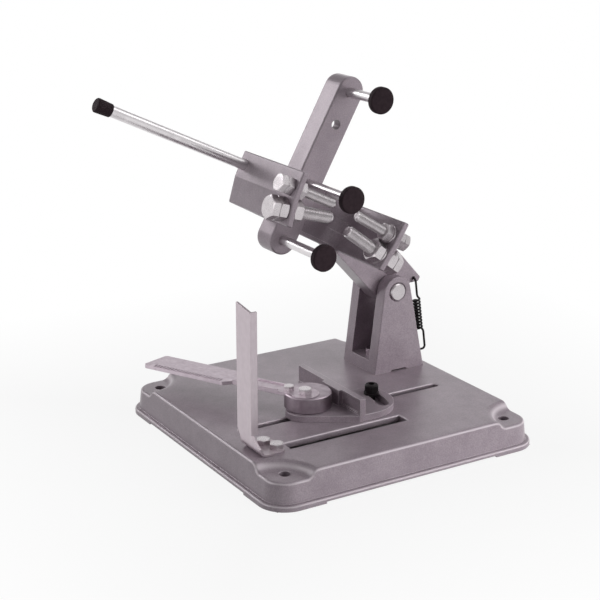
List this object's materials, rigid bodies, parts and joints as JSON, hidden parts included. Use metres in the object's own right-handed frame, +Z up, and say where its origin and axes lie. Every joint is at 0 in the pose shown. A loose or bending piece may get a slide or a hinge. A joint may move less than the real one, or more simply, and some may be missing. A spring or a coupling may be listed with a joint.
{
  "type": "angle grinder stand",
  "caption": "Bench stand that holds a hand-held angle grinder in a sprung swing arm over a slotted cast base with a cam-lever vise and a spark guard strip.",
  "frame": {"origin": "middle of the four bench holes, on the plane that the feet stand on", "axes": "+Z up, +X along the cutting slot towards the column, +Y from the cutting side to the back"},
  "size_m": [0.3001, 0.248, 0.2811],
  "materials": {
    "grey_paint": "hammered grey enamel on castings",
    "zinc_steel": "bright zinc plate",
    "bright_steel": "polished",
    "black_rubber": "moulded, matt",
    "black_steel": "black oxide",
    "bush_bronze": "plain bearing bronze"
  },
  "bodies": {
    "stand": {"base_plate": "grey_paint", "column": "grey_paint", "column_bolts": "zinc_steel", "column_nuts": "zinc_steel", "pivot_pin": "bright_steel", "pivot_circlip": "zinc_steel", "pivot_washers": "zinc_steel", "guard_strip": "zinc_steel", "guard_screws": "zinc_steel", "guard_nuts": "zinc_steel", "return_spring": "black_steel"},
    "arm": {"swing_arm": "grey_paint", "pivot_bush": "bush_bronze", "handle_rod": "bright_steel", "handle_cap": "black_rubber", "clamp_lock_nuts": "zinc_steel", "clamp_inner_nuts": "zinc_steel", "clamp_washers": "zinc_steel"},
    "vise": {"lever_pivot_bolt": "zinc_steel", "fence_screw": "black_steel", "fence_washer": "black_steel", "slide_nuts": "zinc_steel", "slide_washers": "zinc_steel"},
    "fence": {"fence_block": "grey_paint"},
    "lever": {"cam_disc": "zinc_steel", "clamp_lever": "zinc_steel", "lever_bolt": "zinc_steel"},
    "clamp_left_upper": {"clamp_bolt_left_upper": "zinc_steel"},
    "clamp_left_lower": {"clamp_bolt_left_lower": "zinc_steel"},
    "clamp_right_upper": {"clamp_bolt_right_upper": "zinc_steel"},
    "clamp_right_lower": {"clamp_bolt_right_lower": "zinc_steel"},
    "rest_top": {"rest_pin_top": "zinc_steel", "rest_pad_top": "black_rubber"},
    "rest_middle": {"rest_pin_middle": "zinc_steel", "rest_pad_middle": "black_rubber"},
    "rest_bottom": {"rest_pin_bottom": "zinc_steel", "rest_pad_bottom": "black_rubber"}
  },
  "joints": [
    {"name": "arm_swing", "type": "hinge", "parent": "stand", "child": "arm", "pos_m": [0.0821, 0.0428, 0.0972], "axis": [0, -1, 0], "range_deg": [0, 45], "stiffness_Nm_per_rad": 3, "springref_deg": -80.21, "deforming": ["return_spring"]},
    {"name": "vise_slide", "type": "slide", "parent": "stand", "child": "vise", "axis": [1, 0, 0], "range_m": [-0.03, 0.03]},
    {"name": "fence_swivel", "type": "hinge", "parent": "vise", "child": "fence", "pos_m": [-0.0375, -0.026, 0.0265], "axis": [0, 0, 1], "range_deg": [0, 20]},
    {"name": "lever_turn", "type": "hinge", "parent": "fence", "child": "lever", "pos_m": [-0.0375, -0.026, 0.0317], "axis": [0, 0, 1], "range_deg": [-40, 25]},
    {"name": "clamp_left_upper_screw", "type": "slide", "parent": "arm", "child": "clamp_left_upper", "axis": [-0.9026, 0, 0.4305], "range_m": [0, 0.018]},
    {"name": "clamp_left_lower_screw", "type": "slide", "parent": "arm", "child": "clamp_left_lower", "axis": [-0.9613, 0, 0.2756], "range_m": [0, 0.018]},
    {"name": "clamp_right_upper_screw", "type": "slide", "parent": "arm", "child": "clamp_right_upper", "axis": [0.848, 0, -0.5299], "range_m": [0, 0.018]},
    {"name": "clamp_right_lower_screw", "type": "slide", "parent": "arm", "child": "clamp_right_lower", "axis": [0.7986, 0, -0.6018], "range_m": [0, 0.018]},
    {"name": "rest_top_slide", "type": "slide", "parent": "arm", "child": "rest_top", "axis": [0, 1, 0], "range_m": [-0.008, 0.008]},
    {"name": "rest_middle_slide", "type": "slide", "parent": "arm", "child": "rest_middle", "axis": [0, 1, 0], "range_m": [-0.008, 0.008]},
    {"name": "rest_bottom_slide", "type": "slide", "parent": "arm", "child": "rest_bottom", "axis": [0, 1, 0], "range_m": [-0.008, 0.008]}
  ]
}
